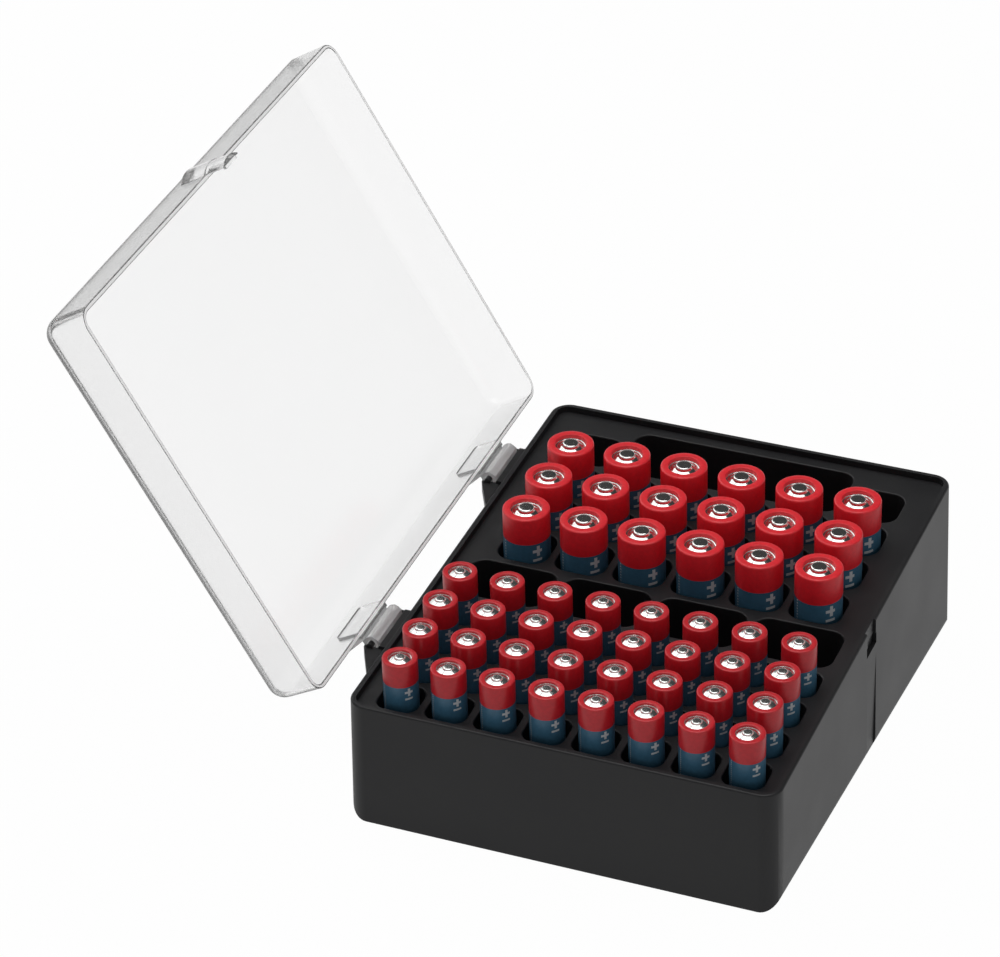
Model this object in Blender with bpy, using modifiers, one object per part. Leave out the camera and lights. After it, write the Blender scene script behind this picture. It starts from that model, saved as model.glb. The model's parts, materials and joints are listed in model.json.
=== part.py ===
"""A hinged battery storage box: a moulded tray of wells, a clear lid and the cells it holds.

The tray is built in its own frame, with its deck level at z = 0, x across from the hinge
side to the latch side and y from front to rear. Its skirt is deeper at the rear, so the
whole frame leans forward when the box stands on a table. Lengths are in metres.
"""
import math

import bmesh
import bpy

MM = 0.001

# Tray shell
TRAY_WIDTH = 130.6 * MM
TRAY_DEPTH = 170.1 * MM
CORNER_RADIUS = 6.0 * MM
LIP_HEIGHT = 2.1 * MM
LIP_THICKNESS = 1.8 * MM
LIP_INNER_RADIUS = 3.5 * MM
LIP_ROUND = 0.7 * MM
DECK_PLATE = 2.0 * MM
SKIRT_WALL = 2.2 * MM
UNDERSIDE_RADIUS = 3.0 * MM
FRONT_HEIGHT = 41.0 * MM
REAR_HEIGHT = 56.1 * MM
DRAFT_ANGLE = math.radians(1.06)

# Wells, measured at the deck
WELL_FLOOR = 1.6 * MM
WELL_CUP_WALL = 1.6 * MM
RIB = 2.5 * MM
STANDING_GAP = 0.3 * MM
AA_COLUMNS = 6
AA_ROWS = 3
AA_PITCH_X = 18.48 * MM
AA_PITCH_Y = 18.68 * MM
AA_WELL_WIDTH = 15.9 * MM
AA_WELL_LENGTH = 16.0 * MM
AA_WELL_RADIUS = 4.6 * MM
AAA_COLUMNS = 8
AAA_ROWS = 4
AAA_PITCH_X = 14.97 * MM
AAA_PITCH_Y = 15.12 * MM
AAA_WELL_WIDTH = 12.5 * MM
AAA_WELL_LENGTH = 12.6 * MM
AAA_WELL_RADIUS = 3.6 * MM
BLOCK_WELL_LENGTH = 18.6 * MM
BLOCK_WELL_DEPTH = 34.0 * MM
WIDE_WELL_LENGTH = 22.3 * MM
WELL_GROUP_SHIFT_X = 0.4 * MM
FRONT_MARGIN = 4.5 * MM
WELL_CORNER_STEPS = 3

# Cells
AA_RADIUS = 7.2 * MM
AA_LENGTH = 50.5 * MM
AA_SHOULDER_INNER_RADIUS = 4.6 * MM
AA_BUTTON_RADIUS = 2.7 * MM
AA_PROTRUSION = 14.5 * MM
AAA_RADIUS = 5.15 * MM
AAA_LENGTH = 44.5 * MM
AAA_SHOULDER_INNER_RADIUS = 3.4 * MM
AAA_BUTTON_RADIUS = 1.9 * MM
AAA_PROTRUSION = 15.2 * MM
BUTTON_PROUD = 0.3 * MM
BUTTON_RECESS = 1.0 * MM
AA_LEAN_Y = 0.4 * MM
AAA_LEAN_X = 0.4 * MM
AAA_LEAN_Y = 0.85 * MM
CELL_STEPS = 14

# Lid, a little wider than the tray's rim
LID_WIDTH = 132.2 * MM
LID_DEPTH = 172.6 * MM
LID_HEIGHT = 17.2 * MM
LID_WALL = 1.5 * MM
LID_TOP = 1.7 * MM
LID_CORNER_RADIUS = 5.4 * MM
LID_EDGE_RADIUS = 5.0 * MM
LID_INNER_CORNER = 3.2 * MM
LID_INNER_RADIUS = 3.4 * MM
LID_SEAM_GAP = 0.3 * MM
PAD_LIFT = 0.25 * MM
LID_OPEN_ANGLE = math.radians(120.1)

# Hinges
HINGE_OUTSET = 4.5 * MM
HINGE_DROP = 0.8 * MM
HINGE_SPACING = 92.0 * MM
PIN_RADIUS = 1.0 * MM
PIN_CLEARANCE = 0.3 * MM
KNUCKLE_RADIUS = 2.4 * MM
KNUCKLE_LENGTH = 17.4 * MM
KNUCKLE_SLOT_HALF_ANGLE = math.radians(26.0)
KNUCKLE_SLOT_DIRECTION = math.radians(190.0)
EAR_GAP = 0.4 * MM
EAR_OUTSET = 2.0 * MM
EAR_DROP = 0.4 * MM
EAR_HEIGHT = 4.0 * MM
EAR_WIDTH = 1.6 * MM
EAR_NOSE = 0.8 * MM
EAR_GUSSET_LENGTH = 12.7 * MM
PIN_HOLD = 1.2 * MM
LEDGE_GAP = 0.3 * MM
LEDGE_TOP = 0.7 * MM
LEDGE_HEIGHT = 3.8 * MM
LEDGE_RECESS = 0.3 * MM
LEAF_THICKNESS = 0.8 * MM
LEAF_GUSSET_LENGTH = 9.5 * MM
HINGE_PAD_THICKNESS = 1.2 * MM
HINGE_PAD_HEIGHT = 9.4 * MM
HINGE_PAD_WIDTH = 17.6 * MM

# Latch
LATCH_Y = 1.5 * MM
LATCH_WIDTH = 11.4 * MM
LATCH_PROUD = 1.8 * MM
LATCH_TOP = 9.4 * MM
LATCH_STEP = 0.15 * MM
LATCH_REACH = 6.8 * MM
TONGUE_WIDTH = 9.4 * MM
LATCH_GAP = 0.35 * MM
HOOK_LIFT = 0.15 * MM
HOOK_HEIGHT = 1.0 * MM
HOOK_DEPTH = 0.8 * MM
HOOK_WIDTH = 7.0 * MM
RELIEF_WIDTH = 8.0 * MM
RELIEF_DEPTH = 0.8 * MM
CATCH_WIDTH = 9.2 * MM
CATCH_TOP = 4.9 * MM
CATCH_HEIGHT = 3.6 * MM
CATCH_DEPTH = 1.2 * MM
CHANNEL_WIDTH = 8.6 * MM
CHANNEL_TOP = 11.8 * MM

# How far a cutter or a joined piece runs into or past its neighbour
OVERRUN = 3.0 * MM
EMBED = 0.7 * MM
MERGE = 0.01 * MM
FLAT_ANGLE = math.radians(0.1)

# Values worked out from the driving sizes
DRAFT = math.tan(DRAFT_ANGLE)
HALF_WIDTH = TRAY_WIDTH / 2
HALF_DEPTH = TRAY_DEPTH / 2
BASE_SLOPE = (REAR_HEIGHT - FRONT_HEIGHT) / (TRAY_DEPTH + DRAFT * (REAR_HEIGHT + FRONT_HEIGHT))
TILT = math.atan(BASE_SLOPE)
BASE_MID = LIP_HEIGHT - FRONT_HEIGHT - BASE_SLOPE * (HALF_DEPTH + DRAFT * FRONT_HEIGHT)
AA_WELL_DEPTH = AA_LENGTH - BUTTON_PROUD - AA_PROTRUSION + STANDING_GAP
AAA_WELL_DEPTH = AAA_LENGTH - BUTTON_PROUD - AAA_PROTRUSION + STANDING_GAP
AAA_FRONT_Y = -HALF_DEPTH + FRONT_MARGIN + AAA_WELL_LENGTH / 2
AAA_REAR_Y = AAA_FRONT_Y + (AAA_ROWS - 1) * AAA_PITCH_Y
BLOCK_Y = AAA_REAR_Y + AAA_WELL_LENGTH / 2 + RIB + BLOCK_WELL_LENGTH / 2
AA_FRONT_Y = BLOCK_Y + BLOCK_WELL_LENGTH / 2 + RIB + AA_WELL_LENGTH / 2
AA_SPARE_Y = AA_FRONT_Y + AA_ROWS * AA_PITCH_Y
WIDE_Y = AA_SPARE_Y - AA_WELL_LENGTH / 2 + WIDE_WELL_LENGTH / 2
BLOCK_WELL_WIDTH = AAA_PITCH_X + AAA_WELL_WIDTH
BLOCK_COUNT = AAA_COLUMNS // 2
HINGE_X = -HALF_WIDTH - HINGE_OUTSET
HINGE_Z = LIP_HEIGHT - HINGE_DROP
LID_HALF_X = LID_WIDTH / 2
LID_HALF_Y = LID_DEPTH / 2
LID_RIM_Z = LIP_HEIGHT + LID_SEAM_GAP
LID_TOP_Z = LID_RIM_Z + LID_HEIGHT
BORE_RADIUS = PIN_RADIUS + PIN_CLEARANCE


def column_x(index, count, pitch):
    """Middle of a column of wells, counted from the hinge side."""
    return WELL_GROUP_SHIFT_X + (index - (count - 1) / 2) * pitch


def half_width_at(z):
    """Half the tray's width at a height of its drafted wall."""
    return HALF_WIDTH + DRAFT * (LIP_HEIGHT - z)


# Scene helpers

def clear_scene():
    for item in list(bpy.data.objects):
        bpy.data.objects.remove(item, do_unlink=True)


def make_collection(name):
    group = bpy.data.collections.new(name)
    bpy.context.scene.collection.children.link(group)
    return group


def make_material(name, color, roughness, metallic=0.0, alpha=1.0):
    mat = bpy.data.materials.new(name)
    mat.use_nodes = True
    shader = mat.node_tree.nodes["Principled BSDF"]
    shader.inputs["Base Color"].default_value = (*color, 1.0)
    shader.inputs["Roughness"].default_value = roughness
    shader.inputs["Metallic"].default_value = metallic
    shader.inputs["Alpha"].default_value = alpha
    return mat


def make_frame(name, location, rotation, parent, group):
    """An empty that carries pieces: the tray's frame or the lid's hinge axis."""
    frame = bpy.data.objects.new(name, None)
    frame.location = location
    frame.rotation_euler = rotation
    frame.parent = parent
    group.objects.link(frame)
    return frame


def place(name, mesh, parent, group, location=(0, 0, 0), rotation=(0, 0, 0)):
    piece = bpy.data.objects.new(name, mesh)
    piece.location = location
    piece.rotation_euler = rotation
    piece.parent = parent
    group.objects.link(piece)
    return piece


def place_tool(name, mesh, parent, group, location=(0, 0, 0), rotation=(0, 0, 0)):
    """A cutter, or a lump that a Boolean joins on: it isn't part of the model itself."""
    tool = place(name, mesh, parent, group, location, rotation)
    tool.hide_render = True
    tool.display_type = "WIRE"
    return tool


def combine(target, tool, operation):
    step = target.modifiers.new(tool.name, "BOOLEAN")
    step.operation = operation
    step.object = tool
    step.solver = "EXACT"


def mesh_from(bm, name):
    mesh = bpy.data.meshes.new(name)
    bm.to_mesh(mesh)
    bm.free()
    return mesh


# Shapes

def upright_edges(verts):
    """Edges of a block that run between its top and its bottom."""
    edges = {edge for vert in verts for edge in vert.link_edges}
    return [e for e in edges if abs(e.verts[0].co.z - e.verts[1].co.z) > MERGE]


def top_edges(bm, level):
    return [e for e in bm.edges if all(abs(v.co.z - level) < MERGE for v in e.verts)]


def bevel_edges(bm, edges, radius, steps):
    bmesh.ops.bevel(bm, geom=edges, offset=radius, offset_type="OFFSET", segments=steps,
                    profile=0.5, affect="EDGES", clamp_overlap=True)


def add_block(bm, low, high, radius=0, steps=WELL_CORNER_STEPS):
    """A box between two corners, its upright edges rounded."""
    verts = bmesh.ops.create_cube(bm, size=2)["verts"]
    for vert in verts:
        vert.co = [b if c > 0 else a for a, b, c in zip(low, high, vert.co)]
    if radius:
        bevel_edges(bm, upright_edges(verts), radius, steps)


def block_mesh(name, low, high, radius=0):
    bm = bmesh.new()
    add_block(bm, low, high, radius)
    return mesh_from(bm, name)


def drafted_mesh(name, half_x, half_y, top, bottom, slope, draft, radius, steps, top_radius=0, top_steps=2):
    """A block whose walls flare downwards and whose underside may slope along y.

    half_x and half_y are taken at the top. bottom is the underside's height at y = 0.
    """
    bm = bmesh.new()
    verts = bmesh.ops.create_cube(bm, size=2)["verts"]
    for vert in verts:
        side_x = math.copysign(1, vert.co.x)
        side_y = math.copysign(1, vert.co.y)
        if vert.co.z > 0:
            fall = 0
        else:
            fall = (top - bottom + slope * side_y * half_y) / (1 - side_y * slope * draft)
        vert.co = (side_x * (half_x + draft * fall), side_y * (half_y + draft * fall), top - fall)
    bevel_edges(bm, upright_edges(verts), radius, steps)
    if top_radius:
        bevel_edges(bm, top_edges(bm, top), top_radius, top_steps)
    return mesh_from(bm, name)


def arc(radius, start, end, steps, center=(0, 0)):
    """Points along a circle, from one angle to another."""
    angles = [start + (end - start) * k / steps for k in range(steps + 1)]
    return [(center[0] + radius * math.cos(a), center[1] + radius * math.sin(a)) for a in angles]


def plate_mesh(name, outline, thickness, group):
    """A flat outline made solid: half its thickness lies on each side of its plane."""
    curve = bpy.data.curves.new(name, "CURVE")
    curve.dimensions = "2D"
    curve.fill_mode = "BOTH"
    curve.extrude = thickness / 2
    line = curve.splines.new("POLY")
    line.points.add(len(outline) - 1)
    for point, (x, y) in zip(line.points, outline):
        point.co = (x, y, 0, 1)
    line.use_cyclic_u = True
    guide = bpy.data.objects.new(name + "_outline", curve)
    group.objects.link(guide)
    bpy.context.view_layer.update()
    mesh = bpy.data.meshes.new_from_object(guide.evaluated_get(bpy.context.evaluated_depsgraph_get()))
    bpy.data.objects.remove(guide, do_unlink=True)
    bm = bmesh.new()
    bm.from_mesh(mesh)
    bmesh.ops.remove_doubles(bm, verts=bm.verts, dist=MERGE)
    bmesh.ops.dissolve_limit(bm, angle_limit=FLAT_ANGLE, verts=bm.verts, edges=bm.edges)
    bmesh.ops.recalc_face_normals(bm, faces=bm.faces)
    bm.to_mesh(mesh)
    bm.free()
    mesh.name = name
    return mesh


def rod_mesh(name, radius, length, steps):
    """A round rod along y, centred on its origin."""
    bm = bmesh.new()
    bmesh.ops.create_cone(bm, cap_ends=True, segments=steps, radius1=radius, radius2=radius, depth=length)
    for vert in bm.verts:
        vert.co = (vert.co.x, vert.co.z, -vert.co.y)
    bmesh.ops.recalc_face_normals(bm, faces=bm.faces)
    return mesh_from(bm, name)


# Wells: one list of rounded boxes, which cut the deck and shape the cups under it

def well_list():
    """Each well as (x, y, width, length, radius, depth)."""
    wells = []
    for row in range(AAA_ROWS):
        for column in range(AAA_COLUMNS):
            x = column_x(column, AAA_COLUMNS, AAA_PITCH_X)
            y = AAA_FRONT_Y + row * AAA_PITCH_Y
            wells.append((x, y, AAA_WELL_WIDTH, AAA_WELL_LENGTH, AAA_WELL_RADIUS, AAA_WELL_DEPTH))
    for index in range(BLOCK_COUNT):
        x = column_x(index, BLOCK_COUNT, 2 * AAA_PITCH_X)
        wells.append((x, BLOCK_Y, BLOCK_WELL_WIDTH, BLOCK_WELL_LENGTH, AA_WELL_RADIUS, BLOCK_WELL_DEPTH))
    for column in range(AA_COLUMNS):
        x = column_x(column, AA_COLUMNS, AA_PITCH_X)
        spare = column in (0, AA_COLUMNS - 1)
        for row in range(AA_ROWS + spare):
            y = AA_FRONT_Y + row * AA_PITCH_Y
            wells.append((x, y, AA_WELL_WIDTH, AA_WELL_LENGTH, AA_WELL_RADIUS, AA_WELL_DEPTH))
    wide = (AA_COLUMNS - 3) * AA_PITCH_X + AA_WELL_WIDTH
    wells.append((WELL_GROUP_SHIFT_X, WIDE_Y, wide, WIDE_WELL_LENGTH, AA_WELL_RADIUS, AA_WELL_DEPTH))
    return wells


def well_cutter_mesh():
    bm = bmesh.new()
    for x, y, width, length, radius, depth in well_list():
        low = (x - width / 2, y - length / 2, -depth)
        high = (x + width / 2, y + length / 2, OVERRUN)
        add_block(bm, low, high, radius)
    return mesh_from(bm, "wells")


def cup_mesh(name, half_x, front, rear, depth):
    """The solid under the deck that a group of wells is sunk into."""
    low = (WELL_GROUP_SHIFT_X - half_x, front, -depth - WELL_FLOOR)
    high = (WELL_GROUP_SHIFT_X + half_x, rear, OVERRUN)
    return block_mesh(name, low, high)


def cup_meshes():
    """Cups under the small, the block and the large wells, the first joined to the front wall."""
    aaa_half = ((AAA_COLUMNS - 1) * AAA_PITCH_X + AAA_WELL_WIDTH) / 2
    aa_half = ((AA_COLUMNS - 1) * AA_PITCH_X + AA_WELL_WIDTH) / 2
    block_front = BLOCK_Y - BLOCK_WELL_LENGTH / 2 - RIB
    aa_front = AA_FRONT_Y - AA_WELL_LENGTH / 2 - RIB
    rear = WIDE_Y + WIDE_WELL_LENGTH / 2 + WELL_CUP_WALL
    return [
        cup_mesh("small_cups", aaa_half + WELL_CUP_WALL, -HALF_DEPTH, block_front + RIB, AAA_WELL_DEPTH),
        cup_mesh("block_cups", aaa_half + RIB, block_front, aa_front + RIB, BLOCK_WELL_DEPTH),
        cup_mesh("large_cups", aa_half + WELL_CUP_WALL, aa_front, rear, AA_WELL_DEPTH),
    ]


# Hinge parts

def hinge_stations():
    return [("front", -HINGE_SPACING / 2), ("rear", HINGE_SPACING / 2)]


def bracket_outline():
    """Plan of a tray bracket from the hinge axis at (0, 0): two ears, the front one with a gusset."""
    root = HINGE_OUTSET + EMBED
    inner = KNUCKLE_LENGTH / 2 + EAR_GAP
    ledge = KNUCKLE_RADIUS + LEDGE_GAP + LEDGE_RECESS
    front = -inner - EAR_NOSE - EAR_GUSSET_LENGTH
    return [(root, front), (root, inner + EAR_WIDTH), (-EAR_OUTSET, inner + EAR_WIDTH), (-EAR_OUTSET, inner),
            (ledge, inner), (ledge, -inner), (-EAR_OUTSET, -inner), (-EAR_OUTSET, -inner - EAR_NOSE),
            (HINGE_OUTSET, front)]


def knuckle_outline():
    """Section of a lid knuckle: a ring round the pin, open where it clips on."""
    start = KNUCKLE_SLOT_DIRECTION + KNUCKLE_SLOT_HALF_ANGLE
    end = KNUCKLE_SLOT_DIRECTION + 2 * math.pi - KNUCKLE_SLOT_HALF_ANGLE
    outer = arc(KNUCKLE_RADIUS, start, end, 16)
    inner = arc(BORE_RADIUS, end, start, 16)
    return outer + inner


def leaf_outline(wall_x):
    """Plan of the lid's hinge leaf, from the axis to its wall, with a gusset towards the front."""
    rear = KNUCKLE_LENGTH / 2 - EAR_GAP
    root = wall_x + EMBED
    nose = wall_x / 2
    return [(0, -rear), (nose, -rear - EAR_GAP), (wall_x, -rear - LEAF_GUSSET_LENGTH),
            (root, -rear - LEAF_GUSSET_LENGTH), (root, rear), (0, rear)]


# Pieces

def build_tray(frame, model, cutters, mat):
    lip_half_x = HALF_WIDTH - LIP_THICKNESS
    lip_half_y = HALF_DEPTH - LIP_THICKNESS
    shell = drafted_mesh("base_tray", HALF_WIDTH, HALF_DEPTH, LIP_HEIGHT, BASE_MID, BASE_SLOPE, DRAFT,
                         CORNER_RADIUS, 5, LIP_ROUND)
    tray = place("base_tray", shell, frame, model)
    tray.data.materials.append(mat)

    pan = block_mesh("pan", (-lip_half_x, -lip_half_y, 0), (lip_half_x, lip_half_y, LIP_HEIGHT + OVERRUN),
                     LIP_INNER_RADIUS)
    combine(tray, place_tool("pan", pan, frame, cutters), "DIFFERENCE")

    # The hollow under the deck, less the cups that the wells are sunk into
    thinned = SKIRT_WALL - DRAFT * (LIP_HEIGHT + DECK_PLATE)
    hollow_mesh = drafted_mesh("underside", HALF_WIDTH - thinned, HALF_DEPTH - thinned, -DECK_PLATE,
                               BASE_MID - OVERRUN, BASE_SLOPE, DRAFT, UNDERSIDE_RADIUS, 3)
    hollow = place_tool("underside", hollow_mesh, frame, cutters)
    for mesh in cup_meshes():
        combine(hollow, place_tool(mesh.name, mesh, frame, cutters), "DIFFERENCE")
    combine(tray, hollow, "DIFFERENCE")
    combine(tray, place_tool("wells", well_cutter_mesh(), frame, cutters), "DIFFERENCE")

    add_latch_seat(tray, frame, cutters)
    add_hinge_ears(tray, frame, cutters)
    return tray


def seat_cut(tray, frame, cutters, name, inner_x, width, bottom, top):
    """Cuts a straight-sided recess into the latch wall, from its face in to inner_x."""
    low = (inner_x, LATCH_Y - width / 2, bottom)
    high = (HALF_WIDTH + OVERRUN, LATCH_Y + width / 2, top)
    combine(tray, place_tool(name, block_mesh(name, low, high), frame, cutters), "DIFFERENCE")


def add_latch_seat(tray, frame, cutters):
    """Where the latch's hook slides in, catches under the rim, and the upright channel below."""
    catch_top = LIP_HEIGHT - CATCH_TOP
    catch_bottom = catch_top - CATCH_HEIGHT
    seat_cut(tray, frame, cutters, "latch_slide", HALF_WIDTH - RELIEF_DEPTH, RELIEF_WIDTH,
             catch_top - CATCH_HEIGHT / 2, LIP_HEIGHT + OVERRUN)
    seat_cut(tray, frame, cutters, "latch_catch", HALF_WIDTH - CATCH_DEPTH, CATCH_WIDTH,
             catch_bottom, catch_top)
    channel_top = LIP_HEIGHT - CHANNEL_TOP
    seat_cut(tray, frame, cutters, "latch_channel", half_width_at(channel_top), CHANNEL_WIDTH,
             BASE_MID - OVERRUN, channel_top + MERGE)


def add_hinge_ears(tray, frame, cutters):
    """Each hinge: a bracket with two ears, a ledge beside the knuckle and the pin, all of the tray."""
    bracket = plate_mesh("bracket", bracket_outline(), EAR_HEIGHT, cutters)
    inner = KNUCKLE_LENGTH / 2 + EAR_GAP
    pin_length = 2 * (inner + PIN_HOLD)
    for name, y in hinge_stations():
        spot = (HINGE_X, y, HINGE_Z - EAR_DROP - EAR_HEIGHT / 2)
        combine(tray, place_tool(f"{name}_bracket", bracket, frame, cutters, spot), "UNION")
        ledge = block_mesh(f"{name}_ledge", (KNUCKLE_RADIUS + LEDGE_GAP, -inner - EMBED, LEDGE_TOP - LEDGE_HEIGHT),
                           (HINGE_OUTSET + EMBED / 2, inner + EMBED, LEDGE_TOP))
        combine(tray, place_tool(f"{name}_ledge", ledge, frame, cutters, (HINGE_X, y, HINGE_Z)), "UNION")
        pin = rod_mesh(f"{name}_pin", PIN_RADIUS, pin_length, 12)
        combine(tray, place_tool(f"{name}_pin", pin, frame, cutters, (HINGE_X, y, HINGE_Z)), "UNION")


def build_lid(hinge, model, cutters, mat):
    """The lid, drawn closed from its hinge axis; the hinge frame then swings it open."""
    center_x = -HINGE_X
    rim = LID_RIM_Z - HINGE_Z
    top = LID_TOP_Z - HINGE_Z
    narrowing = DRAFT * LID_HEIGHT
    outer = drafted_mesh("lid", LID_HALF_X - narrowing, LID_HALF_Y - narrowing, top, rim, 0, DRAFT,
                         LID_CORNER_RADIUS, 5, LID_EDGE_RADIUS, 4)
    for vert in outer.vertices:
        vert.co.x += center_x
    lid = place("lid", outer, hinge, model)
    lid.data.materials.append(mat)
    inset = narrowing + LID_WALL
    inner = drafted_mesh("lid_hollow", LID_HALF_X - inset, LID_HALF_Y - inset, top - LID_TOP, rim - OVERRUN,
                         0, DRAFT, LID_INNER_CORNER, 4, LID_INNER_RADIUS, 3)
    hollow = place_tool("lid_hollow", inner, hinge, cutters, (center_x, 0, 0))
    combine(lid, hollow, "DIFFERENCE")
    add_hinge_leaves(lid, hinge, cutters, center_x - LID_HALF_X)
    add_latch(lid, hinge, cutters, center_x + LID_HALF_X)
    return lid


def add_hinge_leaves(lid, hinge, cutters, wall_x):
    """A pad on the wall, a leaf out to the axis and a knuckle that clips over the pin, at each hinge."""
    rim = LID_RIM_Z - HINGE_Z
    knuckle = plate_mesh("knuckle", knuckle_outline(), KNUCKLE_LENGTH, cutters)
    leaf = plate_mesh("leaf", leaf_outline(wall_x), LEAF_THICKNESS, cutters)
    pad_x = wall_x - HINGE_PAD_THICKNESS
    leaf_z = KNUCKLE_RADIUS - LEAF_THICKNESS / 2
    for name, y in hinge_stations():
        pad = block_mesh(f"{name}_pad", (pad_x, y - HINGE_PAD_WIDTH / 2, rim + PAD_LIFT),
                         (wall_x + EMBED, y + HINGE_PAD_WIDTH / 2, rim + HINGE_PAD_HEIGHT))
        combine(lid, place_tool(f"{name}_pad", pad, hinge, cutters), "UNION")
        combine(lid, place_tool(f"{name}_leaf", leaf, hinge, cutters, (0, y, leaf_z)), "UNION")
        turned = (math.pi / 2, 0, 0)
        combine(lid, place_tool(f"{name}_knuckle", knuckle, hinge, cutters, (0, y, 0), turned), "UNION")


def bow_outline(inner_x, proud, width):
    """Plan of the finger pad: a flat back at inner_x and a bowed front, proud of the wall."""
    radius = (width ** 2 / 4 + proud ** 2) / (2 * proud)
    center = proud - radius
    spread = math.acos(-center / radius)
    bow = arc(radius, -spread, spread, 8, (center, 0))
    return [(inner_x, bow[0][1])] + bow + [(inner_x, bow[-1][1])]


def add_latch(lid, hinge, cutters, wall_x):
    """A bowed finger pad on the latch wall, and the hooked tongue that runs down from it."""
    rim = LID_RIM_Z - HINGE_Z
    pad_height = LATCH_TOP - PAD_LIFT
    pad = plate_mesh("latch_pad", bow_outline(-EMBED, LATCH_PROUD, LATCH_WIDTH), pad_height, cutters)
    spot = (wall_x, LATCH_Y, rim + PAD_LIFT + pad_height / 2)
    combine(lid, place_tool("latch_pad", pad, hinge, cutters, spot), "UNION")

    # The tongue's inner face keeps a gap to the tray's drafted wall
    inner_x = HALF_WIDTH - LID_HALF_X + LATCH_GAP + DRAFT * LATCH_REACH
    tongue_top = LATCH_TOP / 2
    tongue = plate_mesh("latch_tongue", bow_outline(inner_x, LATCH_PROUD - LATCH_STEP, TONGUE_WIDTH),
                        tongue_top + LATCH_REACH, cutters)
    spot = (wall_x, LATCH_Y, rim + (tongue_top - LATCH_REACH) / 2)
    combine(lid, place_tool("latch_tongue", tongue, hinge, cutters, spot), "UNION")

    hook_bottom = rim - LATCH_REACH + HOOK_LIFT
    hook = block_mesh("latch_hook", (inner_x - HOOK_DEPTH, -HOOK_WIDTH / 2, hook_bottom),
                      (inner_x + EMBED / 2, HOOK_WIDTH / 2, hook_bottom + HOOK_HEIGHT))
    combine(lid, place_tool("latch_hook", hook, hinge, cutters, (wall_x, LATCH_Y, 0)), "UNION")


def cell_profile(radius, length, inner_radius, button_radius):
    """Half section of a cell, from the middle of its button down its side to its flat end."""
    shoulder = length - BUTTON_PROUD
    floor = shoulder - BUTTON_RECESS
    return [(0, length), (button_radius, length), (button_radius, floor), (inner_radius, floor),
            (inner_radius, shoulder), (radius, shoulder), (radius, 0), (0, 0)]


def cell_mesh(name, profile, mat):
    mesh = bpy.data.meshes.new(name)
    mesh.from_pydata([(x, 0, z) for x, z in profile], [(k, k + 1) for k in range(len(profile) - 1)], [])
    mesh.materials.append(mat)
    return mesh


def spin_profile(piece):
    turn = piece.modifiers.new("turned", "SCREW")
    turn.axis = "Z"
    turn.angle = 2 * math.pi
    turn.steps = CELL_STEPS
    turn.render_steps = CELL_STEPS
    turn.use_merge_vertices = True
    turn.merge_threshold = MERGE
    turn.use_smooth_shade = False


def build_cells(frame, model, mat):
    """A row of cells stands in each row of wells, leaning on the well's front."""
    aa = cell_mesh("aa_cell", cell_profile(AA_RADIUS, AA_LENGTH, AA_SHOULDER_INNER_RADIUS, AA_BUTTON_RADIUS), mat)
    for row in range(AA_ROWS):
        for column in range(AA_COLUMNS):
            x = column_x(column, AA_COLUMNS, AA_PITCH_X)
            y = AA_FRONT_Y + row * AA_PITCH_Y - AA_LEAN_Y
            spot = (x, y, STANDING_GAP - AA_WELL_DEPTH)
            spin_profile(place(f"aa_cell_row{row + 1}_{column + 1}", aa, frame, model, spot))
    aaa = cell_mesh("aaa_cell", cell_profile(AAA_RADIUS, AAA_LENGTH, AAA_SHOULDER_INNER_RADIUS,
                                             AAA_BUTTON_RADIUS), mat)
    for row in range(AAA_ROWS):
        for column in range(AAA_COLUMNS):
            x = column_x(column, AAA_COLUMNS, AAA_PITCH_X) + AAA_LEAN_X
            y = AAA_FRONT_Y + row * AAA_PITCH_Y - AAA_LEAN_Y
            spot = (x, y, STANDING_GAP - AAA_WELL_DEPTH)
            spin_profile(place(f"aaa_cell_row{row + 1}_{column + 1}", aaa, frame, model, spot))


def rest_frame_location():
    """Where the tray's frame sits so that the opened box stands on z = 0, centred in x and y."""
    far = LID_HALF_X - HINGE_X
    reach = far - DRAFT * LID_HEIGHT - LID_EDGE_RADIUS
    rise = LID_TOP_Z - HINGE_Z - LID_EDGE_RADIUS
    lid_left = (HINGE_X + reach * math.cos(LID_OPEN_ANGLE) - rise * math.sin(LID_OPEN_ANGLE)
                - LID_EDGE_RADIUS)
    tray_right = half_width_at(BASE_MID - BASE_SLOPE * HALF_DEPTH)
    lid_peak = HINGE_Z + far * math.sin(LID_OPEN_ANGLE)
    front = -LID_HALF_Y * math.cos(TILT) - lid_peak * math.sin(TILT)
    rear_fall = REAR_HEIGHT - LIP_HEIGHT
    rear = (HALF_DEPTH + DRAFT * REAR_HEIGHT) * math.cos(TILT) + rear_fall * math.sin(TILT)
    return (-(lid_left + tray_right) / 2, -(front + rear) / 2, -BASE_MID * math.cos(TILT))


def build():
    clear_scene()
    model = make_collection("battery_storage_box")
    cutters = make_collection("cutters")
    black = make_material("black_plastic", (0.02, 0.02, 0.021), 0.42)
    clear = make_material("clear_plastic", (0.85, 0.86, 0.87), 0.25, alpha=0.4)
    label = make_material("cell_label", (0.45, 0.02, 0.03), 0.35, metallic=0.2)
    frame = make_frame("tray_frame", rest_frame_location(), (TILT, 0, 0), None, model)
    hinge = make_frame("lid_hinge_axis", (HINGE_X, 0, HINGE_Z), (0, -LID_OPEN_ANGLE, 0), frame, model)
    build_tray(frame, model, cutters, black)
    build_lid(hinge, model, cutters, clear)
    build_cells(frame, model, label)
    bpy.context.view_layer.update()


build()
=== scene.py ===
import json
import math

import bmesh
import bpy
from mathutils import Matrix, Vector


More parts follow.
